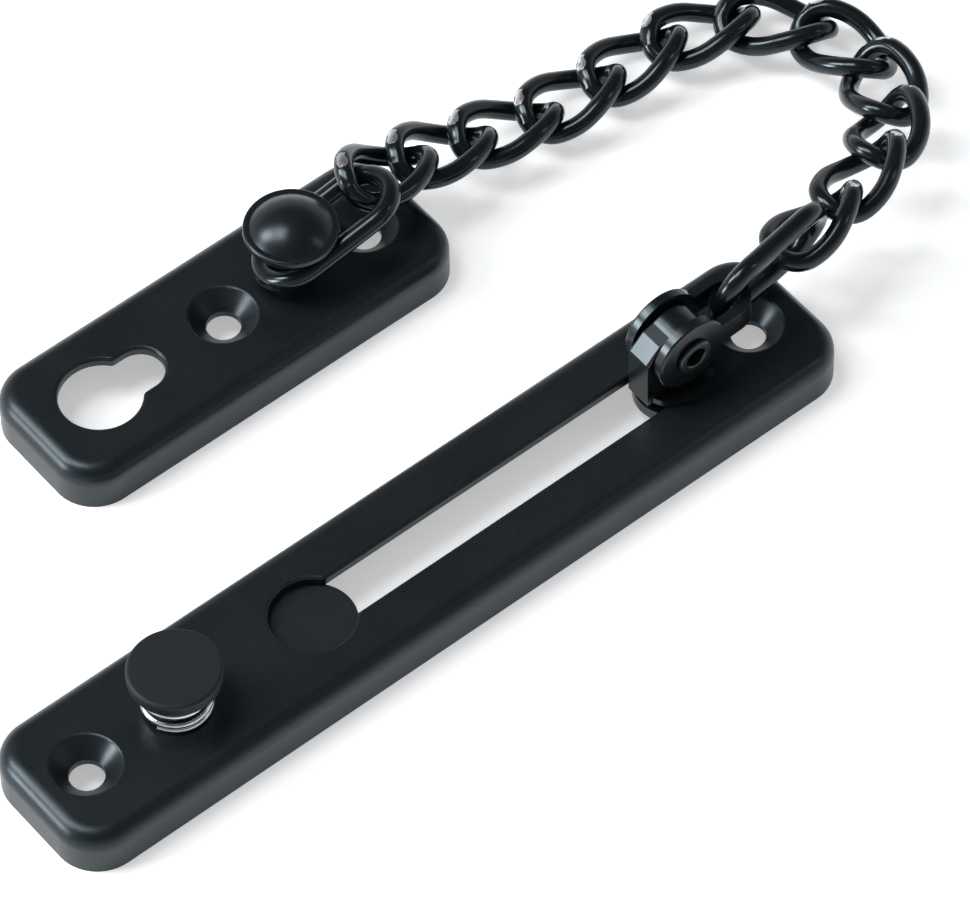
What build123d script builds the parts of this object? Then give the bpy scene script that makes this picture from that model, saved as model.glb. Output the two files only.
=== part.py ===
"""Door chain: a slotted track plate with a press lock, a slider, a curb chain and an anchor plate."""

import os
from math import cos, radians, sin, sqrt

from build123d import *

os.makedirs("parts", exist_ok=True)

# Drawn steel trays, the same section for both plates
plate_width = 24.0
plate_height = 7.15
sheet = 1.5
plate_corner_radius = 6.5
plate_edge_radius = 2.6
screw_hole_diameter = 5.0
screw_rim_diameter = 10.0
screw_seat_angle = 90
screw_seat_wall = 1.3
screw_seat_land = 1.0
rim_rounding = 0.5

# Track plate, insets measured from its lock end, the slider's from the chain end
track_length = 134.0
track_screw_inset = 9.0
knob_inset = 24.4
entry_inset = 47.5
entry_diameter = 12.0
slot_width = 7.2
slider_rest_inset = 22.8
slot_corner_rounding = 0.8

# Press knob, its spring and the lock leaf
knob_head_diameter = 13.2
knob_head_thickness = 2.2
knob_shaft_diameter = 5.8
knob_shank_diameter = 4.4
knob_tail_diameter = 7.0
knob_tail_thickness = 1.0
knob_rise = 6.3
knob_edge_rounding = 0.5
running_clearance = 0.1
spring_outer_diameter = 10.4
spring_wire = 1.0
spring_turns = 2.5
spring_end_clearance = 0.05
leaf_width = 12.6
leaf_thickness = 1.2
leaf_clearance = 0.1

# Slider: foot, neck and flange in the slot, tongue above
slider_foot_diameter = 11.4
slider_foot_thickness = 1.9
slider_foot_clearance = 0.35
slider_neck_diameter = 6.8
slider_flange_thickness = 1.0
slot_end_clearance = 0.1
tongue_thickness = 4.1
tongue_front = 6.3
tongue_shoulder = 0.9
tongue_nose_run = 2.3
tongue_nose_rise = 3.2
tongue_round = 4.5
tongue_edge_rounding = 0.4
pin_offset = 0.3
pin_rise = 8.05

# U-bent strap and its tubular rivet
strap_sheet = 1.5
strap_side_clearance = 0.3
strap_ear_radius = 5.8
strap_band_height = 3.9
strap_reach = 12.6
strap_tilt = 3
strap_fairing = 2.5
strap_edge_rounding = 0.35
rivet_diameter = 4.0
rivet_bore = 3.0
rivet_rim_diameter = 5.6
rivet_rim_thickness = 0.7
rivet_rim_rounding = 0.3
rivet_seat_clearance = 0.02

# Long wire rings at both ends of the chain, sizes over the wire's centre line
ring_wire = 2.9
ring_length = 21.5
ring_width = 10.2
ring_bend_clearance = 0.85

# Twisted curb links, sizes over the wire's centre line
link_wire = 2.8
link_length = 15.5
link_width = 9.9
link_twist = -40
wire_spacing = 4.1

# Anchor plate, insets measured from its chain end
anchor_length = 67.8
anchor_screw_near_inset = 9.2
anchor_stud_inset = 21.8
anchor_screw_far_inset = 34.3
keyhole_neck_inset = 49.0
keyhole_mouth_inset = 55.8

# Anchor stud
stud_neck_diameter = 6.0
stud_shank_diameter = 4.6
stud_rim_diameter = 13.6
stud_rim_thickness = 1.3
stud_dome_diameter = 11.6
stud_dome_rise = 2.3
stud_rim_rounding = 0.4
stud_tail_diameter = 8.0
stud_tail_thickness = 1.0
stud_ring_clearance = 0.2
stud_neck_clearance = 0.3

# Lay of the chain: heading in the plan, rise along the link and roll about it, in degrees.
# The first entry is the link at the anchor ring, the last the link at the slider ring.
chain_lay = [
    (9, -24, -2),
    (-3, -18, -8),
    (-9, -9, -11),
    (-2, -2, -12),
    (-1, 0, -15),
    (-18, 0, -15),
    (-48, 0, -11),
    (-84, 7, -2),
    (-115, 14, 11),
    (-140, 18, 21),
    (-162, 4, 27),
    (-170, 2, 30),
]
slider_ring_lay = (11, -5, 102)
anchor_ring_lay = (-5, 17, -16)
# Where the chain's end links hang in the rings, in each ring's own directions
slider_ring_seat = (2.9, -1.3, 0.0)
anchor_ring_seat = (6.3, 1.9, 1.8)


def lay_location(position, lay):
    """Location of a piece that lies at a heading, a rise and a roll."""
    heading, rise, roll = lay
    return Location(position, (roll, -rise, heading), Extrinsic.XYZ)


def lay_direction(lay):
    """Direction in which a piece with this lay points."""
    heading, rise, _ = lay
    flat = cos(radians(rise))
    return Vector(flat * cos(radians(heading)), flat * sin(radians(heading)), sin(radians(rise)))


def drawn_tray(center, length, screws, cutout):
    """Tray drawn from one sheet, with countersunk screw seats and a cut-out through its top."""
    top = Plane.XY.offset(plate_height)
    with BuildPart() as tray:
        with BuildSketch():
            with Locations(center):
                RectangleRounded(length, plate_width, plate_corner_radius)
        extrude(amount=plate_height)
        fillet(tray.faces().sort_by(Axis.Z)[-1].edges(), radius=plate_edge_radius)
        offset(amount=-sheet, openings=tray.faces().sort_by(Axis.Z)[0])
        seat_depth = (screw_rim_diameter - screw_hole_diameter) / 2 + screw_seat_land
        with Locations(*[top.location * Pos(x, y) for x, y in screws]):
            Cone(
                screw_hole_diameter / 2 + screw_seat_wall,
                screw_rim_diameter / 2 + screw_seat_wall,
                seat_depth,
                align=(Align.CENTER, Align.CENTER, Align.MAX),
            )
            CounterSinkHole(
                screw_hole_diameter / 2,
                screw_rim_diameter / 2,
                counter_sink_angle=screw_seat_angle,
            )
        extrude(top.location * cutout, amount=-plate_height, mode=Mode.SUBTRACT)
        rims = [wire.edges() for wire in tray.faces().sort_by(Axis.Z)[-1].inner_wires()]
        fillet([edge for rim in rims for edge in rim], radius=rim_rounding)
    return tray.part


# Track plate: slot with its entry hole, and the hole that guides the press knob
track_start = -track_length / 2
track_screw_x = track_length / 2 - track_screw_inset
knob_x = track_start + knob_inset
entry_x = track_start + entry_inset
slider_x = track_length / 2 - slider_rest_inset
slot_end_x = slider_x + (slot_width - slider_neck_diameter) / 2 - slot_end_clearance
with BuildSketch() as track_cutout:
    with Locations((entry_x, 0)):
        Circle(entry_diameter / 2)
    with Locations(((entry_x + slot_end_x) / 2, 0)):
        SlotCenterToCenter(slot_end_x - entry_x, slot_width)
    mouth = track_cutout.vertices().filter_by_position(
        Axis.X, entry_x + slot_corner_rounding, entry_x + entry_diameter / 2
    )
    fillet(mouth, radius=slot_corner_rounding)
    with Locations((knob_x, 0)):
        Circle(knob_shaft_diameter / 2 + running_clearance)
with BuildPart() as track_plate:
    add(
        drawn_tray(
            (0, 0),
            track_length,
            [(-track_screw_x, 0), (track_screw_x, 0)],
            track_cutout.sketch,
        )
    )
track_plate.part.label = "track_plate"
export_step(track_plate.part, "parts/track_plate.step")

# Press knob: head, shaft and a peened tail that holds the leaf against the shaft's shoulder
plate_underside = plate_height - sheet
leaf_top = plate_underside - leaf_clearance
leaf_bottom = leaf_top - leaf_thickness
knob_head_bottom = plate_height + knob_rise
knob_head_top = knob_head_bottom + knob_head_thickness
with BuildPart() as press_knob:
    with BuildSketch(Plane.XZ):
        with BuildLine():
            Polyline(
                (knob_x, leaf_bottom - knob_tail_thickness),
                (knob_x + knob_tail_diameter / 2, leaf_bottom - knob_tail_thickness),
                (knob_x + knob_tail_diameter / 2, leaf_bottom),
                (knob_x + knob_shank_diameter / 2, leaf_bottom),
                (knob_x + knob_shank_diameter / 2, leaf_top),
                (knob_x + knob_shaft_diameter / 2, leaf_top),
                (knob_x + knob_shaft_diameter / 2, knob_head_bottom),
                (knob_x + knob_head_diameter / 2, knob_head_bottom),
                (knob_x + knob_head_diameter / 2, knob_head_top),
                (knob_x, knob_head_top),
                close=True,
            )
        make_face()
    revolve(axis=Axis((knob_x, 0, 0), (0, 0, 1)))
    head_rims = press_knob.edges().filter_by(GeomType.CIRCLE).sort_by(Axis.Z)[-2:]
    fillet(head_rims, radius=knob_edge_rounding)
press_knob.part.label = "press_knob"
export_step(press_knob.part, "parts/press_knob.step")

# Coil spring between the plate and the knob's head
spring_radius = (spring_outer_diameter - spring_wire) / 2
spring_start_z = plate_height + spring_wire / 2 + spring_end_clearance
spring_height = knob_rise - spring_wire - 2 * spring_end_clearance
with BuildPart() as press_spring:
    with BuildLine() as coil:
        Helix(
            pitch=spring_height / spring_turns,
            height=spring_height,
            radius=spring_radius,
            center=(knob_x, 0, spring_start_z),
        )
    with BuildSketch(Plane(origin=coil.line @ 0, z_dir=coil.line % 0)):
        Circle(spring_wire / 2)
    sweep(path=coil.line, is_frenet=True)
press_spring.part.label = "press_spring"
export_step(press_spring.part, "parts/press_spring.step")

# Lock leaf: its round end closes the entry hole from below
with BuildPart() as lock_leaf:
    with BuildSketch(Plane.XY.offset(leaf_bottom)):
        with Locations(((knob_x + entry_x) / 2, 0)):
            SlotCenterToCenter(entry_x - knob_x, leaf_width)
        with Locations((knob_x, 0)):
            Circle(knob_shank_diameter / 2 + rivet_seat_clearance, mode=Mode.SUBTRACT)
    extrude(amount=leaf_thickness)
lock_leaf.part.label = "lock_leaf"
export_step(lock_leaf.part, "parts/lock_leaf.step")

# Slider: turned foot, neck and flange with a flat tongue that carries the rivet
foot_top = plate_underside - slider_foot_clearance
flange_bottom = plate_height + running_clearance
flange_top = flange_bottom + slider_flange_thickness
pin_x = slider_x + pin_offset
pin_z = plate_height + pin_rise
tongue_front_x = slider_x - tongue_front
pin_plane = Plane(origin=(pin_x, 0, pin_z), x_dir=(1, 0, 0), z_dir=(0, -1, 0))
with BuildPart() as slider:
    with BuildSketch(Plane.XZ):
        with BuildLine():
            Polyline(
                (slider_x, foot_top - slider_foot_thickness),
                (slider_x + slider_foot_diameter / 2, foot_top - slider_foot_thickness),
                (slider_x + slider_foot_diameter / 2, foot_top),
                (slider_x + slider_neck_diameter / 2, foot_top),
                (slider_x + slider_neck_diameter / 2, flange_bottom),
                (slider_x + slider_foot_diameter / 2, flange_bottom),
                (slider_x + slider_foot_diameter / 2, flange_top),
                (slider_x, flange_top),
                close=True,
            )
        make_face()
    revolve(axis=Axis((slider_x, 0, 0), (0, 0, 1)))
    with BuildSketch(Plane.XZ) as tongue_side:
        with BuildLine():
            Polyline(
                (tongue_front_x, flange_bottom),
                (tongue_front_x, pin_z + tongue_shoulder),
                (tongue_front_x + tongue_nose_run, pin_z + tongue_nose_rise),
                (pin_x, pin_z + tongue_round),
                (pin_x + tongue_round, pin_z),
                (pin_x + tongue_round, flange_bottom),
                close=True,
            )
        make_face()
        with Locations((pin_x, pin_z)):
            Circle(tongue_round)
    extrude(amount=tongue_thickness / 2, both=True)
    tongue_waist = (flange_top + pin_z) / 2
    tongue_rims = slider.faces().filter_by(Axis.Y).edges()
    tongue_rims = tongue_rims.filter_by(lambda edge: edge.center().Z > tongue_waist)
    fillet(tongue_rims, radius=tongue_edge_rounding)
    with BuildSketch(pin_plane):
        Circle(rivet_diameter / 2 + running_clearance / 2)
    extrude(amount=tongue_thickness, both=True, mode=Mode.SUBTRACT)
slider.part.label = "slider"
export_step(slider.part, "parts/slider.step")

# Strap: one strip bent round its end, two ears over the tongue
strap_inner = tongue_thickness / 2 + strap_side_clearance
strap_outer = strap_inner + strap_sheet
strap_bend_x = strap_reach - strap_outer
strap_x_dir = (cos(radians(strap_tilt)), 0, sin(radians(strap_tilt)))
strap_plan = Plane(pin_plane.origin, strap_x_dir, (-strap_x_dir[2], 0, strap_x_dir[0]))
strap_side = Plane(pin_plane.origin, strap_x_dir, (0, -1, 0))
with BuildPart() as clevis_strap:
    with BuildSketch(strap_plan):
        with Locations(((strap_bend_x - strap_ear_radius) / 2, 0)):
            Rectangle(strap_bend_x + strap_ear_radius, 2 * strap_outer)
        with Locations((strap_bend_x, 0)):
            Circle(strap_outer)
        with Locations(((strap_bend_x - strap_ear_radius) / 2, 0)):
            Rectangle(strap_bend_x + strap_ear_radius, 2 * strap_inner, mode=Mode.SUBTRACT)
        with Locations((strap_bend_x, 0)):
            Circle(strap_inner, mode=Mode.SUBTRACT)
    extrude(amount=strap_ear_radius, both=True)
    with BuildSketch(strap_side) as strap_outline:
        Circle(strap_ear_radius)
        with Locations((strap_reach / 2, 0)):
            Rectangle(strap_reach, strap_band_height)
        waist = strap_outline.vertices().filter_by_position(
            Axis.X, pin_x + rivet_diameter / 2, pin_x + strap_ear_radius
        )
        fillet(waist, radius=strap_fairing)
        Circle(rivet_diameter / 2 + rivet_seat_clearance, mode=Mode.SUBTRACT)
    extrude(amount=strap_outer, both=True, mode=Mode.INTERSECT)
    ear_sides = clevis_strap.faces().filter_by(Axis.Y).group_by(Axis.Y)
    ear_rims = (ear_sides[0] + ear_sides[-1]).edges().filter_by(GeomType.CIRCLE)
    ear_rims = ear_rims.filter_by(lambda edge: edge.radius > rivet_diameter)
    fillet(ear_rims, radius=strap_edge_rounding)
clevis_strap.part.label = "clevis_strap"
export_step(clevis_strap.part, "parts/clevis_strap.step")

# Tubular rivet with a rolled rim outside each ear
rivet_plane = Plane(origin=pin_plane.origin, x_dir=(1, 0, 0), z_dir=(0, 0, 1))
with BuildPart() as strap_rivet:
    with BuildSketch(rivet_plane):
        with Locations(((rivet_diameter + rivet_bore) / 4, 0)):
            Rectangle((rivet_diameter - rivet_bore) / 2, 2 * strap_outer)
        for side in (-1, 1):
            rim_radius = (rivet_rim_diameter + rivet_bore) / 4
            rim_place = side * (strap_outer + rivet_rim_thickness / 2)
            with Locations((rim_radius, rim_place)):
                RectangleRounded(
                    (rivet_rim_diameter - rivet_bore) / 2,
                    rivet_rim_thickness,
                    rivet_rim_rounding,
                )
    revolve(axis=Axis(pin_plane.origin, (0, 1, 0)))
strap_rivet.part.label = "strap_rivet"
export_step(strap_rivet.part, "parts/strap_rivet.step")

# Long ring: wire bent to a stadium and butted
with BuildPart() as long_ring:
    ring_straight = ring_length - ring_width
    with BuildLine() as ring_path:
        near = Line((-ring_straight / 2, -ring_width / 2), (ring_straight / 2, -ring_width / 2))
        far_end = TangentArc(near @ 1, (ring_straight / 2, ring_width / 2), tangent=near % 1)
        far = Line(far_end @ 1, (-ring_straight / 2, ring_width / 2))
        TangentArc(far @ 1, near @ 0, tangent=far % 1)
    with BuildSketch(Plane(origin=ring_path.line @ 0, z_dir=ring_path.line % 0)):
        Circle(ring_wire / 2)
    sweep(path=ring_path.line)

# Curb link: an oval of eight arcs, its ends twisted out of the plane against each other
twist = radians(link_twist)
end_point = Vector(link_length / 2, 0, 0)
end_tangent = Vector(0, cos(twist), sin(twist))
side_point = Vector(0, link_width / 2, 0)
side_tangent = Vector(-link_length / 2, 0, -link_width / 2 * twist).normalized()
chord = side_point - end_point
tangent_sum = end_tangent + side_tangent
spread = 1 - end_tangent.dot(side_tangent)
along = chord.dot(tangent_sum)
handle = (sqrt(along**2 + 2 * spread * chord.dot(chord)) - along) / (2 * spread)
bend_start = end_point + end_tangent * handle
bend_end = side_point - side_tangent * handle
bend_point = (bend_start + bend_end) * 0.5
bend_tangent = (bend_end - bend_start).normalized()
half_link = [
    (end_point, end_tangent),
    (bend_point, bend_tangent),
    (side_point, side_tangent),
    (
        Vector(-bend_point.X, bend_point.Y, -bend_point.Z),
        Vector(bend_tangent.X, -bend_tangent.Y, bend_tangent.Z),
    ),
]
half_ends = [point for point, _ in half_link[1:]] + [-end_point]
with BuildPart() as half_wire:
    with BuildLine() as half_path:
        for (start, tangent), end in zip(half_link, half_ends):
            TangentArc(start, end, tangent=tangent)
    with BuildSketch(Plane(origin=end_point, z_dir=end_tangent)):
        Circle(link_wire / 2)
    sweep(path=half_path.line)
with BuildPart() as curb_link:
    with PolarLocations(0, 2):
        add(half_wire.part)

# Slider ring: its end wire stands in the bend of the strap
ring_inner_bend = (ring_width - ring_wire) / 2
band_half = strap_band_height / 2
ring_bulge = ring_inner_bend - sqrt(ring_inner_bend**2 - band_half**2)
ring_end_x = strap_reach - strap_sheet - ring_bulge - ring_bend_clearance - ring_wire / 2
slider_ring_end = strap_plan.from_local_coords(Vector(ring_end_x, 0, 0))
slider_ring_center = slider_ring_end + lay_direction(slider_ring_lay) * (ring_length / 2)
slider_ring_place = lay_location(slider_ring_center, slider_ring_lay)
with BuildPart() as slider_ring:
    with Locations(slider_ring_place):
        add(long_ring.part)
slider_ring.part.label = "slider_ring"
export_step(slider_ring.part, "parts/slider_ring.step")

# Chain: from the slider ring back to the anchor, each link hooked in the one before
link_directions = [lay_direction(lay) for lay in chain_lay]
chain_end = Plane(slider_ring_place).from_local_coords(Vector(slider_ring_seat))
link_centers = [chain_end - link_directions[-1] * (link_length / 2)]
for direction, next_direction in zip(link_directions[-2::-1], link_directions[:0:-1]):
    both = direction + next_direction
    step = both * (link_length / 2) - both.normalized() * wire_spacing
    link_centers.insert(0, link_centers[0] - step)
for number, (center, lay) in enumerate(zip(link_centers, chain_lay), start=1):
    with BuildPart() as link:
        with Locations(lay_location(center, lay)):
            add(curb_link.part)
    link.part.label = f"link_{number:02d}"
    export_step(link.part, f"parts/link_{number:02d}.step")

# Anchor ring: hooked on the first link, its other end round the stud's neck
chain_start = link_centers[0] - link_directions[0] * (link_length / 2)
ring_turn = lay_location((0, 0, 0), anchor_ring_lay)
anchor_ring_center = chain_start - Plane(ring_turn).from_local_coords(Vector(anchor_ring_seat))
with BuildPart() as anchor_ring:
    with Locations(lay_location(anchor_ring_center, anchor_ring_lay)):
        add(long_ring.part)
anchor_ring.part.label = "anchor_ring"
export_step(anchor_ring.part, "parts/anchor_ring.step")

# Anchor plate: lies where the chain ends, with a keyhole that parks the slider
ring_heading, ring_rise, ring_roll = (radians(angle) for angle in anchor_ring_lay)
ring_inner_reach = (ring_length - ring_wire) / 2 * cos(ring_rise)
stud_reach = ring_inner_reach - stud_neck_diameter / 2 - stud_neck_clearance
stud_x = anchor_ring_center.X - stud_reach * cos(ring_heading)
stud_y = anchor_ring_center.Y - stud_reach * sin(ring_heading)
anchor_end_x = stud_x + anchor_stud_inset
with BuildSketch() as anchor_cutout:
    mouth_x = anchor_end_x - keyhole_mouth_inset
    neck_x = anchor_end_x - keyhole_neck_inset
    with Locations((mouth_x, stud_y)):
        Circle(entry_diameter / 2)
    with Locations(((mouth_x + neck_x) / 2, stud_y)):
        SlotCenterToCenter(neck_x - mouth_x, slot_width)
    mouth = anchor_cutout.vertices().filter_by_position(
        Axis.X, mouth_x + slot_corner_rounding, mouth_x + entry_diameter / 2
    )
    fillet(mouth, radius=slot_corner_rounding)
    with Locations((stud_x, stud_y)):
        Circle(stud_shank_diameter / 2 + rivet_seat_clearance)
with BuildPart() as anchor_plate:
    add(
        drawn_tray(
            (anchor_end_x - anchor_length / 2, stud_y),
            anchor_length,
            [(anchor_end_x - inset, stud_y) for inset in (anchor_screw_near_inset, anchor_screw_far_inset)],
            anchor_cutout.sketch,
        )
    )
anchor_plate.part.label = "anchor_plate"
export_step(anchor_plate.part, "parts/anchor_plate.step")

# Anchor stud: neck long enough for the tilted ring, broad rim and dome, tail riveted below
rim_span = (stud_rim_diameter + ring_wire) / 2
rim_reach = sqrt(rim_span**2 - (ring_width / 2) ** 2) - stud_reach
ring_top = (
    anchor_ring_center.Z
    + rim_reach * sin(ring_rise)
    + ring_width / 2 * abs(sin(ring_roll)) * cos(ring_rise)
    + ring_wire / 2
)
stud_head_z = ring_top + stud_ring_clearance
stud_rim_top = stud_head_z + stud_rim_thickness
tail_bottom = plate_underside - stud_tail_thickness
with BuildPart() as anchor_stud:
    with BuildSketch(Plane.XZ.offset(-stud_y)):
        with BuildLine():
            base = Polyline(
                (stud_x, stud_rim_top + stud_dome_rise),
                (stud_x, tail_bottom),
                (stud_x + stud_tail_diameter / 2, tail_bottom),
                (stud_x + stud_tail_diameter / 2, plate_underside),
                (stud_x + stud_shank_diameter / 2, plate_underside),
                (stud_x + stud_shank_diameter / 2, plate_height),
                (stud_x + stud_neck_diameter / 2, plate_height),
                (stud_x + stud_neck_diameter / 2, stud_head_z),
                (stud_x + stud_rim_diameter / 2, stud_head_z),
                (stud_x + stud_rim_diameter / 2, stud_rim_top),
                (stud_x + stud_dome_diameter / 2, stud_rim_top),
            )
            TangentArc(base @ 0, base @ 1, tangent=(1, 0))
        make_face()
    revolve(axis=Axis((stud_x, stud_y, 0), (0, 0, 1)))
    head_edges = anchor_stud.edges().filter_by(GeomType.CIRCLE)
    rim_edges = head_edges.filter_by(lambda edge: edge.radius > stud_dome_diameter / 2 + stud_rim_rounding)
    fillet(rim_edges, radius=stud_rim_rounding)
anchor_stud.part.label = "anchor_stud"
export_step(anchor_stud.part, "parts/anchor_stud.step")
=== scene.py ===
from math import cos, pi, radians, sin, sqrt, tau

import bpy
from mathutils import Euler, Matrix, Vector


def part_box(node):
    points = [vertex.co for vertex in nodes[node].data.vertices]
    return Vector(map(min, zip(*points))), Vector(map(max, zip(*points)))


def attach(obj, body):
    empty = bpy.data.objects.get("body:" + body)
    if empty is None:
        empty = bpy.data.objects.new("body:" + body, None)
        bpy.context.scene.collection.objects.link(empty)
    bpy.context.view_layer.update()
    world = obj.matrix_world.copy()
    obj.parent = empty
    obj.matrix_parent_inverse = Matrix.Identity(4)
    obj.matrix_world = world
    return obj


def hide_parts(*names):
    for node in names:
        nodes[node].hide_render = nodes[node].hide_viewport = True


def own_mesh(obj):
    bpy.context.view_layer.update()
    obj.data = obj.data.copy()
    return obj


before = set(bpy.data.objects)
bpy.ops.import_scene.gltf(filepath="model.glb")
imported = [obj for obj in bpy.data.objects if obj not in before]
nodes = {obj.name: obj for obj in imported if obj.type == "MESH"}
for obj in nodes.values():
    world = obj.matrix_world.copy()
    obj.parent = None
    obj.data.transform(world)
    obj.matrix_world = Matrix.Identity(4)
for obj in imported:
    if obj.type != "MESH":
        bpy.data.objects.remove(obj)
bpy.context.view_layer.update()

# Track plate: a tray drawn from one steel sheet, with slot, entry hole and screw
# seats pressed in. It is blasted and stove coated in satin black, so it keeps a
# fine grain and a faint cloudiness in its sheen.
coating = bpy.data.node_groups.new("black_coating_surface", "ShaderNodeTree")
for socket_name, socket_type in (
    ("Place", "NodeSocketVector"),
    ("Grain", "NodeSocketFloat"),
    ("Cloud", "NodeSocketFloat"),
    ("Deep", "NodeSocketColor"),
    ("Raised", "NodeSocketColor"),
    ("Smooth", "NodeSocketFloat"),
    ("Dull", "NodeSocketFloat"),
):
    coating.interface.new_socket(socket_name, in_out="INPUT", socket_type=socket_type)
for socket_name, socket_type in (
    ("Color", "NodeSocketColor"),
    ("Roughness", "NodeSocketFloat"),
    ("Height", "NodeSocketFloat"),
):
    coating.interface.new_socket(socket_name, in_out="OUTPUT", socket_type=socket_type)
given = coating.nodes.new("NodeGroupInput")
grain = coating.nodes.new("ShaderNodeTexNoise")
grain.inputs["Detail"].default_value = 3.0
cloud = coating.nodes.new("ShaderNodeTexNoise")
cloud.inputs["Detail"].default_value = 2.0
tone = coating.nodes.new("ShaderNodeMix")
tone.data_type = "RGBA"
speckle = coating.nodes.new("ShaderNodeMapRange")
speckle.inputs["From Min"].default_value = 0.35
speckle.inputs["From Max"].default_value = 0.65
sheen = coating.nodes.new("ShaderNodeMapRange")
sheen.inputs["From Min"].default_value = 0.3
sheen.inputs["From Max"].default_value = 0.7
result = coating.nodes.new("NodeGroupOutput")
for texture, size in ((grain, "Grain"), (cloud, "Cloud")):
    coating.links.new(given.outputs["Place"], texture.inputs["Vector"])
    coating.links.new(given.outputs[size], texture.inputs["Scale"])
coating.links.new(grain.outputs["Fac"], speckle.inputs["Value"])
coating.links.new(speckle.outputs["Result"], tone.inputs["Factor"])
coating.links.new(given.outputs["Deep"], tone.inputs["A"])
coating.links.new(given.outputs["Raised"], tone.inputs["B"])
coating.links.new(cloud.outputs["Fac"], sheen.inputs["Value"])
coating.links.new(given.outputs["Smooth"], sheen.inputs["To Min"])
coating.links.new(given.outputs["Dull"], sheen.inputs["To Max"])
coating.links.new(tone.outputs["Result"], result.inputs["Color"])
coating.links.new(sheen.outputs["Result"], result.inputs["Roughness"])
coating.links.new(grain.outputs["Fac"], result.inputs["Height"])


def black_coating(name, deep, raised, smooth, dull, reflection, grain_scale):
    """Satin black coating: tones, range of roughness, reflection and grains per metre."""
    finish = bpy.data.materials.new(name)
    finish.use_nodes = True
    tree = finish.node_tree
    shader = tree.nodes["Principled BSDF"]
    place = tree.nodes.new("ShaderNodeTexCoord")
    surface = tree.nodes.new("ShaderNodeGroup")
    surface.node_tree = coating
    surface.inputs["Grain"].default_value = grain_scale
    surface.inputs["Cloud"].default_value = 90.0
    surface.inputs["Deep"].default_value = (*deep, 1.0)
    surface.inputs["Raised"].default_value = (*raised, 1.0)
    surface.inputs["Smooth"].default_value = smooth
    surface.inputs["Dull"].default_value = dull
    relief = tree.nodes.new("ShaderNodeBump")
    relief.inputs["Strength"].default_value = 0.25
    relief.inputs["Distance"].default_value = 0.00002
    shader.inputs["Specular IOR Level"].default_value = reflection
    shader.inputs["Specular Tint"].default_value = (0.74, 0.90, 1.0, 1.0)
    tree.links.new(place.outputs["Object"], surface.inputs["Place"])
    tree.links.new(surface.outputs["Color"], shader.inputs["Base Color"])
    tree.links.new(surface.outputs["Roughness"], shader.inputs["Roughness"])
    tree.links.new(surface.outputs["Height"], relief.inputs["Height"])
    tree.links.new(relief.outputs["Normal"], shader.inputs["Normal"])
    return finish


def finish_node(name, finish):
    """Gives a solid its finish in place of the plain one it came with."""
    solid = nodes[name]
    solid.data.materials.clear()
    solid.data.materials.append(finish)


plate_finish = black_coating(
    "plate_black",
    deep=(0.0044, 0.0060, 0.0072),
    raised=(0.0070, 0.0094, 0.0112),
    smooth=0.30,
    dull=0.37,
    reflection=0.50,
    grain_scale=2600.0,
)
finish_node("track_plate", plate_finish)

# Lock leaf: a flat stamped leaf under the plate, riveted to the knob's tail. Its
# round end closes the entry hole from below and carries a duller coat.
leaf_finish = black_coating(
    "leaf_black",
    deep=(0.0050, 0.0066, 0.0080),
    raised=(0.0080, 0.0104, 0.0122),
    smooth=0.48,
    dull=0.56,
    reflection=0.36,
    grain_scale=2200.0,
)
finish_node("lock_leaf", leaf_finish)

# Press knob: a turned steel button with a flat head, through the plate and peened
# below the leaf. Its face is coated matt, with a fine even grain.
knob_finish = black_coating(
    "knob_black",
    deep=(0.0066, 0.0082, 0.0096),
    raised=(0.0098, 0.0120, 0.0138),
    smooth=0.50,
    dull=0.58,
    reflection=0.36,
    grain_scale=3200.0,
)
finish_node("press_knob", knob_finish)

# Press spring: bright drawn wire wound on a mandrel, with a closed turn at each end
# that lies flat on the plate and under the knob's head. It carries no coating.
spring_low, spring_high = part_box("press_spring")
spring_axis = (spring_low + spring_high) / 2
spring_wire = 0.0010
spring_radius = (spring_high.y - spring_low.y - spring_wire) / 2
spring_seat = 0.00003
coil_low = spring_low.z + spring_wire / 2 - spring_seat
coil_high = spring_high.z - spring_wire / 2 + spring_seat
closed_turns = 1.1
open_turns = 1.4
closed_pitch_in_wires = 1.04
closed_rise = closed_turns * spring_wire * closed_pitch_in_wires
open_rise = coil_high - coil_low - 2 * closed_rise
coil_start = radians(200)
points_per_turn = 20
coil_turns = 2 * closed_turns + open_turns
coil_points = []
for step in range(round(coil_turns * points_per_turn) + 1):
    turned = step / points_per_turn
    rise_low = min(turned, closed_turns) / closed_turns * closed_rise
    rise_open = open_rise * min(max(turned - closed_turns, 0) / open_turns, 1)
    rise_high = max(turned - closed_turns - open_turns, 0) / closed_turns * closed_rise
    angle = tau * turned + coil_start
    coil_points.append(
        Vector(
            (
                spring_axis.x + spring_radius * cos(angle),
                spring_axis.y + spring_radius * sin(angle),
                coil_low + rise_low + rise_open + rise_high,
            )
        )
    )
bpy.ops.object.select_all(action="DESELECT")
bpy.ops.curve.primitive_nurbs_path_add(location=(0.0, 0.0, 0.0))
spring = bpy.context.object
spring.name = "bright_coil"
coil_line = spring.data.splines[0]
coil_line.points.add(len(coil_points) - len(coil_line.points))
for knot, point in zip(coil_line.points, coil_points):
    knot.co = (*point, 1.0)
coil_line.order_u = 4
coil_line.use_endpoint_u = True
coil_line.resolution_u = 3
spring.data.bevel_depth = spring_wire / 2
spring.data.bevel_resolution = 5
spring.data.use_fill_caps = True
bpy.ops.object.convert(target="MESH")
spring = bpy.context.object
spring.data.name = "bright_coil"
bpy.ops.object.mode_set(mode="EDIT")
bpy.ops.mesh.select_all(action="SELECT")
bpy.ops.mesh.remove_doubles(threshold=0.000001)
bpy.ops.mesh.normals_make_consistent(inside=False)
bpy.ops.object.mode_set(mode="OBJECT")
bpy.ops.object.shade_smooth_by_angle(angle=radians(40))
spring_finish = bpy.data.materials.new("drawn_wire")
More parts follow.
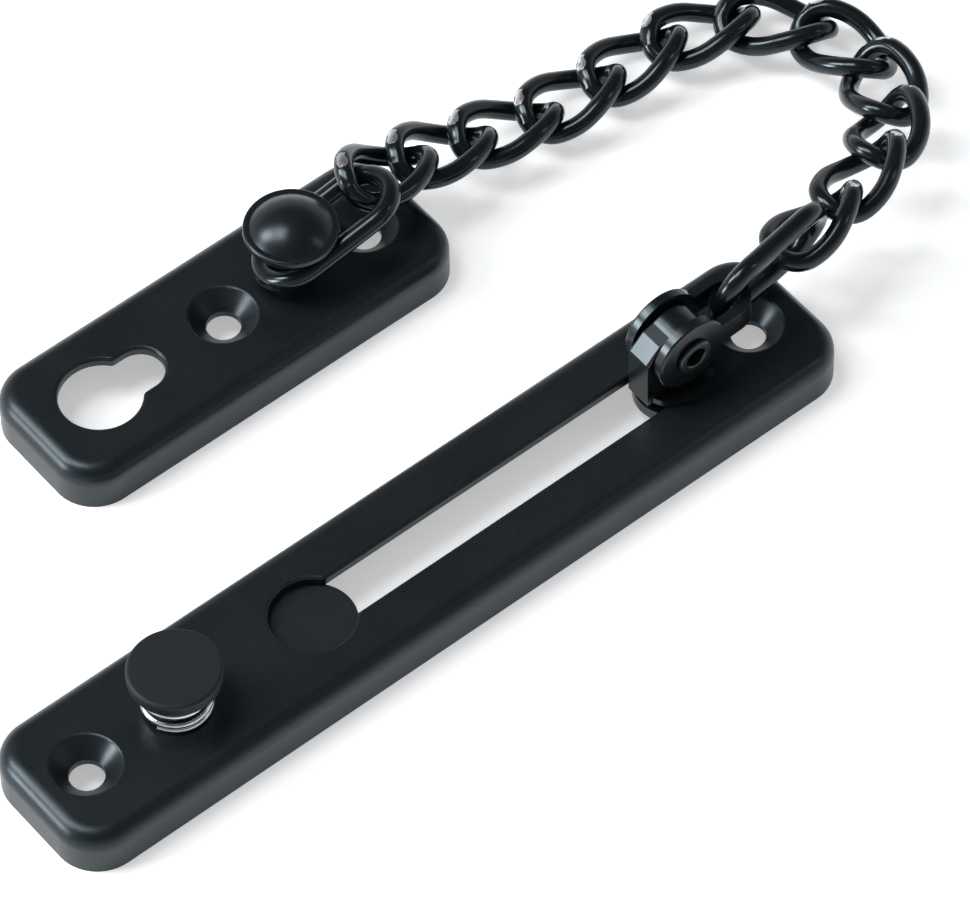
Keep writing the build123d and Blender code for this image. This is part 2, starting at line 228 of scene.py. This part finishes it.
spring_finish.use_nodes = True
wire_tree = spring_finish.node_tree
wire_shader = wire_tree.nodes["Principled BSDF"]
wire_shader.inputs["Metallic"].default_value = 1.0
wire_place = wire_tree.nodes.new("ShaderNodeTexCoord")
wire_draw = wire_tree.nodes.new("ShaderNodeTexNoise")
wire_draw.inputs["Scale"].default_value = 1500.0
wire_draw.inputs["Detail"].default_value = 4.0
wire_tone = wire_tree.nodes.new("ShaderNodeMix")
wire_tone.data_type = "RGBA"
wire_tone.inputs["A"].default_value = (0.55, 0.55, 0.57, 1.0)
wire_tone.inputs["B"].default_value = (0.82, 0.82, 0.83, 1.0)
wire_gloss = wire_tree.nodes.new("ShaderNodeMapRange")
wire_gloss.inputs["To Min"].default_value = 0.16
wire_gloss.inputs["To Max"].default_value = 0.30
wire_tree.links.new(wire_place.outputs["Object"], wire_draw.inputs["Vector"])
wire_tree.links.new(wire_draw.outputs["Fac"], wire_tone.inputs["Factor"])
wire_tree.links.new(wire_draw.outputs["Fac"], wire_gloss.inputs["Value"])
wire_tree.links.new(wire_tone.outputs["Result"], wire_shader.inputs["Base Color"])
wire_tree.links.new(wire_gloss.outputs["Result"], wire_shader.inputs["Roughness"])
spring.data.materials.clear()
spring.data.materials.append(spring_finish)
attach(spring, "track")
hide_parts("press_spring")
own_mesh(spring)

# Slider: foot, neck, flange and upright tongue cast in one. It runs in the slot and is
# coated a little glossier than the plates.
slider_finish = black_coating(
    "slider_black",
    deep=(0.0036, 0.0045, 0.0054),
    raised=(0.0062, 0.0076, 0.0088),
    smooth=0.19,
    dull=0.26,
    reflection=0.50,
    grain_scale=1800.0,
)
finish_node("slider", slider_finish)

# Clevis strap and its rivet: a strip bent to a U with two round ears, held on the
# tongue by a tubular rivet whose rims are rolled over outside the ears.
finish_node("clevis_strap", slider_finish)
rivet_finish = black_coating(
    "rivet_black",
    deep=(0.0052, 0.0062, 0.0072),
    raised=(0.0088, 0.0104, 0.0118),
    smooth=0.22,
    dull=0.32,
    reflection=0.50,
    grain_scale=2400.0,
)
finish_node("strap_rivet", rivet_finish)

# Slider ring: 2.9 mm wire bent to a long ring through the strap's bend and butted in
# one long side. It is coated after bending.
chain_finish = black_coating(
    "chain_black",
    deep=(0.0034, 0.0044, 0.0053),
    raised=(0.0058, 0.0073, 0.0086),
    smooth=0.15,
    dull=0.21,
    reflection=0.50,
    grain_scale=1900.0,
)
finish_node("slider_ring", chain_finish)

# Curb links: twelve lengths of wire, each bent to an oval, twisted and butted at the
# end towards the anchor. The closing dies press two flats on each butt, where the
# coating is thin and the steel shines through.
link_wire = 0.0028
link_length = 0.0155
link_width = 0.0099
link_twist = radians(-40)
wire_sides = 20
bend_steps = 9
end_point = Vector((link_length / 2, 0.0, 0.0))
end_tangent = Vector((0.0, cos(link_twist), sin(link_twist)))
side_point = Vector((0.0, link_width / 2, 0.0))
side_tangent = Vector((-link_length / 2, 0.0, -link_width / 2 * link_twist)).normalized()
chord = side_point - end_point
along = chord.dot(end_tangent + side_tangent)
spread = 1 - end_tangent.dot(side_tangent)
handle = (sqrt(along**2 + 2 * spread * chord.dot(chord)) - along) / (2 * spread)
bend_start = end_point + end_tangent * handle
bend_end = side_point - side_tangent * handle
bend_point = (bend_start + bend_end) / 2
bend_tangent = (bend_end - bend_start).normalized()
far_bend_point = Vector((-bend_point.x, bend_point.y, -bend_point.z))
far_bend_tangent = Vector((bend_tangent.x, -bend_tangent.y, bend_tangent.z))
half_bends = [
    (end_point, end_tangent, bend_point),
    (bend_point, bend_tangent, side_point),
    (side_point, side_tangent, far_bend_point),
    (far_bend_point, far_bend_tangent, -end_point),
]
bpy.ops.object.select_all(action="DESELECT")
bpy.ops.mesh.primitive_circle_add(
    vertices=wire_sides,
    radius=link_wire / 2,
    location=end_point,
    rotation=end_tangent.to_track_quat("Z", "X").to_euler(),
)
link_form = bpy.context.object
link_form.name = "link_form"
bpy.ops.object.transform_apply(location=True, rotation=True, scale=True)
bpy.ops.object.mode_set(mode="EDIT")
bpy.ops.mesh.select_all(action="SELECT")
for bend_from, tangent, bend_to in half_bends:
    reach = bend_to - bend_from
    bend_axis = tangent.cross(reach).normalized()
    inward = bend_axis.cross(tangent)
    bend_radius = reach.dot(reach) / (2 * reach.dot(inward))
    bend_angle = 2 * reach.angle(tangent)
    bpy.ops.mesh.spin(
        steps=bend_steps,
        angle=-bend_angle,
        center=bend_from + inward * bend_radius,
        axis=bend_axis,
    )
bpy.ops.mesh.select_all(action="SELECT")
bpy.ops.mesh.duplicate()
bpy.ops.transform.rotate(value=pi, orient_axis="Z", center_override=(0.0, 0.0, 0.0))
bpy.ops.mesh.select_all(action="SELECT")
bpy.ops.mesh.remove_doubles(threshold=0.00001)
bpy.ops.mesh.normals_make_consistent(inside=False)
flat_depth = 0.00025
flat_facing = Vector((-0.6, 0.0, 0.8))
flat_shares_of_last_bend = (0.36, 0.76)
flat_planes = []
for flat_share in flat_shares_of_last_bend:
    flat_turn = bend_angle * flat_share
    wire_point = (
        bend_from
        + inward * bend_radius * (1 - cos(flat_turn))
        + tangent * bend_radius * sin(flat_turn)
    )
    wire_tangent = tangent * cos(flat_turn) + inward * sin(flat_turn)
    flat_normal = (flat_facing - wire_tangent * flat_facing.dot(wire_tangent)).normalized()
    flat_place = wire_point + flat_normal * (link_wire / 2 - flat_depth)
    flat_planes.append((flat_place, flat_normal))
    bpy.ops.mesh.select_all(action="SELECT")
    bpy.ops.mesh.bisect(plane_co=flat_place, plane_no=flat_normal, clear_outer=True)
    bpy.ops.mesh.select_all(action="DESELECT")
    bpy.ops.mesh.select_mode(type="EDGE")
    bpy.ops.mesh.select_non_manifold()
    bpy.ops.mesh.edge_face_add()
bpy.ops.mesh.select_all(action="SELECT")
bpy.ops.mesh.normals_make_consistent(inside=False)
bpy.ops.object.mode_set(mode="OBJECT")
butt_finish = bpy.data.materials.new("butt_steel")
butt_finish.use_nodes = True
butt_tree = butt_finish.node_tree
butt_shader = butt_tree.nodes["Principled BSDF"]
butt_place = butt_tree.nodes.new("ShaderNodeTexCoord")
butt_marks = butt_tree.nodes.new("ShaderNodeTexNoise")
butt_marks.inputs["Scale"].default_value = 1400.0
butt_marks.inputs["Detail"].default_value = 3.0
butt_bare = butt_tree.nodes.new("ShaderNodeMapRange")
butt_bare.inputs["From Min"].default_value = 0.32
butt_bare.inputs["From Max"].default_value = 0.44
butt_tone = butt_tree.nodes.new("ShaderNodeMix")
butt_tone.data_type = "RGBA"
butt_tone.inputs["A"].default_value = (0.012, 0.013, 0.014, 1.0)
butt_tone.inputs["B"].default_value = (0.66, 0.67, 0.68, 1.0)
butt_gloss = butt_tree.nodes.new("ShaderNodeMapRange")
butt_gloss.inputs["To Min"].default_value = 0.38
butt_gloss.inputs["To Max"].default_value = 0.26
butt_tree.links.new(butt_place.outputs["Object"], butt_marks.inputs["Vector"])
butt_tree.links.new(butt_marks.outputs["Fac"], butt_bare.inputs["Value"])
butt_tree.links.new(butt_bare.outputs["Result"], butt_tone.inputs["Factor"])
butt_tree.links.new(butt_bare.outputs["Result"], butt_gloss.inputs["Value"])
butt_tree.links.new(butt_bare.outputs["Result"], butt_shader.inputs["Metallic"])
butt_tree.links.new(butt_tone.outputs["Result"], butt_shader.inputs["Base Color"])
butt_tree.links.new(butt_gloss.outputs["Result"], butt_shader.inputs["Roughness"])
link_form.data.materials.append(chain_finish)
link_form.data.materials.append(butt_finish)
on_flat_distance = 0.00001
on_flat_alignment = 0.99
for face in link_form.data.polygons:
    for flat_place, flat_normal in flat_planes:
        on_flat = abs((face.center - flat_place).dot(flat_normal)) < on_flat_distance
        if on_flat and face.normal.dot(flat_normal) > on_flat_alignment:
            face.material_index = 1
bpy.ops.object.shade_smooth_by_angle(angle=radians(35))

# The links lie as the chain was laid down: heading in the plan, rise along the link
# and roll about it, from the anchor to the slider ring.
chain_lay = [
    (9, -24, -2),
    (-3, -18, -8),
    (-9, -9, -11),
    (-2, -2, -12),
    (-1, 0, -15),
    (-18, 0, -15),
    (-48, 0, -11),
    (-84, 7, -2),
    (-115, 14, 11),
    (-140, 18, 21),
    (-162, 4, 27),
    (-170, 2, 30),
]
wire_spacing = 0.0041
ring_heading, ring_rise, ring_roll = radians(11), radians(-5), radians(102)
ring_seat = Vector((0.0029, -0.0013, 0.0))
ring_low, ring_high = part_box("slider_ring")
ring_turn = Euler((ring_roll, -ring_rise, ring_heading), "XYZ").to_matrix()
hook_point = (ring_low + ring_high) / 2 + ring_turn @ ring_seat
link_turns = [
    Euler((radians(roll), radians(-rise), radians(heading)), "XYZ").to_matrix()
    for heading, rise, roll in chain_lay
]
link_directions = [link_turn @ Vector((1.0, 0.0, 0.0)) for link_turn in link_turns]
link_center = hook_point - link_directions[-1] * (link_length / 2)
for number in range(len(chain_lay), 0, -1):
    link = link_form.copy()
    link.data = link_form.data.copy()
    link.name = f"curb_link_{number:02d}"
    link.data.name = link.name
    bpy.context.scene.collection.objects.link(link)
    link.data.transform(Matrix.Translation(link_center) @ link_turns[number - 1].to_4x4())
    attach(link, f"link_{number:02d}")
    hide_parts(f"link_{number:02d}")
    if number > 1:
        both = link_directions[number - 2] + link_directions[number - 1]
        link_center = link_center - both * (link_length / 2) + both.normalized() * wire_spacing
bpy.data.objects.remove(link_form)

# Anchor ring: the same long ring, hooked on the first link and held under the head
# of the anchor stud.
finish_node("anchor_ring", chain_finish)

# Anchor plate: the shorter tray, drawn and coated as the track plate is, with a
# keyhole where the slider can be parked.
finish_node("anchor_plate", plate_finish)

# Anchor stud: turned from bar with a broad rim and a domed head, riveted into the
# plate. It is polished before coating, so its sheen is clearer than the plates'.
stud_finish = black_coating(
    "stud_black",
    deep=(0.0042, 0.0054, 0.0064),
    raised=(0.0066, 0.0085, 0.0099),
    smooth=0.25,
    dull=0.30,
    reflection=0.50,
    grain_scale=2600.0,
)
finish_node("anchor_stud", stud_finish)

# Table and light: a white table top in a pale room that darkens overhead. A window and
# a low side light stand at the far left, a soft light hangs above, and a weak one
# fills in from the near right.
table_size = 3.0
table_drop = 0.00002
table_lift = 0.42
bpy.ops.object.select_all(action="DESELECT")
bpy.ops.mesh.primitive_plane_add(size=table_size, location=(0.0, 0.0, -table_drop))
table_top = bpy.context.object
table_top.name = "table_top"
table_paint = bpy.data.materials.new("table_white")
table_paint.use_nodes = True
paint_tree = table_paint.node_tree
paint_shader = paint_tree.nodes["Principled BSDF"]
paint_shader.inputs["Base Color"].default_value = (0.86, 0.875, 0.89, 1.0)
paint_shader.inputs["Roughness"].default_value = 0.7
paint_shader.inputs["Specular IOR Level"].default_value = 0.1
seen = paint_tree.nodes.new("ShaderNodeLightPath")
seen_direct = paint_tree.nodes.new("ShaderNodeMath")
seen_direct.operation = "MAXIMUM"
seen_any = paint_tree.nodes.new("ShaderNodeMath")
seen_any.operation = "MAXIMUM"
lift = paint_tree.nodes.new("ShaderNodeMath")
lift.operation = "MULTIPLY"
lift.inputs[1].default_value = table_lift
paint_tree.links.new(seen.outputs["Is Camera Ray"], seen_direct.inputs[0])
paint_tree.links.new(seen.outputs["Is Glossy Ray"], seen_direct.inputs[1])
paint_tree.links.new(seen_direct.outputs["Value"], seen_any.inputs[0])
paint_tree.links.new(seen.outputs["Is Transmission Ray"], seen_any.inputs[1])
paint_tree.links.new(seen_any.outputs["Value"], lift.inputs[0])
paint_shader.inputs["Emission Color"].default_value = (1.0, 1.0, 1.0, 1.0)
paint_tree.links.new(lift.outputs["Value"], paint_shader.inputs["Emission Strength"])
table_top.data.materials.append(table_paint)

room = bpy.data.worlds.new("white_room")
bpy.context.scene.world = room
room.use_nodes = True
room_tree = room.node_tree
room_light = room_tree.nodes["Background"]
room_light.inputs["Color"].default_value = (0.95, 0.975, 1.0, 1.0)
room_seen = room_tree.nodes.new("ShaderNodeLightPath")
room_direct = room_tree.nodes.new("ShaderNodeMath")
room_direct.operation = "MAXIMUM"
room_any = room_tree.nodes.new("ShaderNodeMath")
room_any.operation = "MAXIMUM"
room_level = room_tree.nodes.new("ShaderNodeMix")
room_level.inputs["A"].default_value = 0.34
room_place = room_tree.nodes.new("ShaderNodeTexCoord")
room_height = room_tree.nodes.new("ShaderNodeSeparateXYZ")
room_ceiling = room_tree.nodes.new("ShaderNodeMapRange")
room_ceiling.interpolation_type = "SMOOTHSTEP"
room_ceiling.inputs["From Min"].default_value = 0.20
room_ceiling.inputs["From Max"].default_value = 0.60
room_ceiling.inputs["To Min"].default_value = 0.7
room_ceiling.inputs["To Max"].default_value = 0.14
room_tree.links.new(room_place.outputs["Generated"], room_height.inputs["Vector"])
room_tree.links.new(room_height.outputs["Z"], room_ceiling.inputs["Value"])
room_tree.links.new(room_seen.outputs["Is Camera Ray"], room_direct.inputs[0])
room_tree.links.new(room_seen.outputs["Is Glossy Ray"], room_direct.inputs[1])
room_tree.links.new(room_direct.outputs["Value"], room_any.inputs[0])
room_tree.links.new(room_seen.outputs["Is Transmission Ray"], room_any.inputs[1])
room_tree.links.new(room_any.outputs["Value"], room_level.inputs["Factor"])
room_tree.links.new(room_ceiling.outputs["Result"], room_level.inputs["B"])
room_tree.links.new(room_level.outputs["Result"], room_light.inputs["Strength"])

for lamp_name, lamp_place, lamp_width, lamp_height, lamp_power in (
    ("window", (-0.72, 0.80, 1.06), 0.40, 0.54, 10.0),
    ("side", (-1.23, 0.66, 0.48), 0.40, 0.48, 11.0),
    ("overhead", (-0.30, 0.35, 1.15), 0.45, 0.45, 5.2),
    ("fill", (0.60, -0.55, 0.70), 0.12, 0.30, 0.3),
):
    lamp = bpy.data.lights.new(lamp_name, "AREA")
    lamp.shape = "RECTANGLE"
    lamp.size = lamp_width
    lamp.size_y = lamp_height
    lamp.energy = lamp_power
    lamp_stand = bpy.data.objects.new(lamp_name, lamp)
    bpy.context.scene.collection.objects.link(lamp_stand)
    lamp_stand.location = lamp_place
    lamp_stand.rotation_mode = "QUATERNION"
    lamp_stand.rotation_quaternion = (-Vector(lamp_place)).to_track_quat("-Z", "Y")
bpy.context.scene.view_settings.view_transform = "Standard"

# Camera: a long lens from the near left, looking down on the table at the angle of
# the photograph.
view_heading, view_drop, view_roll = radians(38.237), radians(53.498), radians(-1.164)
view_aim = Vector((0.01695, 0.00781, 0.00388))
view_distance = 1.0
level_forward = Vector((sin(view_heading), cos(view_heading), 0.0))
forward = level_forward * cos(view_drop) - Vector((0.0, 0.0, sin(view_drop)))
level_right = Vector((cos(view_heading), -sin(view_heading), 0.0))
level_up = level_right.cross(forward)
right = level_right * cos(view_roll) + level_up * sin(view_roll)
up = right.cross(forward)
camera_data = bpy.data.cameras.new("photo_camera")
camera_data.lens = 268.98
camera_data.sensor_width = 36.0
camera_data.clip_start = 0.05
camera_data.clip_end = 20.0
camera = bpy.data.objects.new("photo_camera", camera_data)
bpy.context.scene.collection.objects.link(camera)
turn = Matrix((right, up, -forward)).transposed().to_4x4()
camera.matrix_world = Matrix.Translation(view_aim - forward * view_distance) @ turn
bpy.context.scene.camera = camera
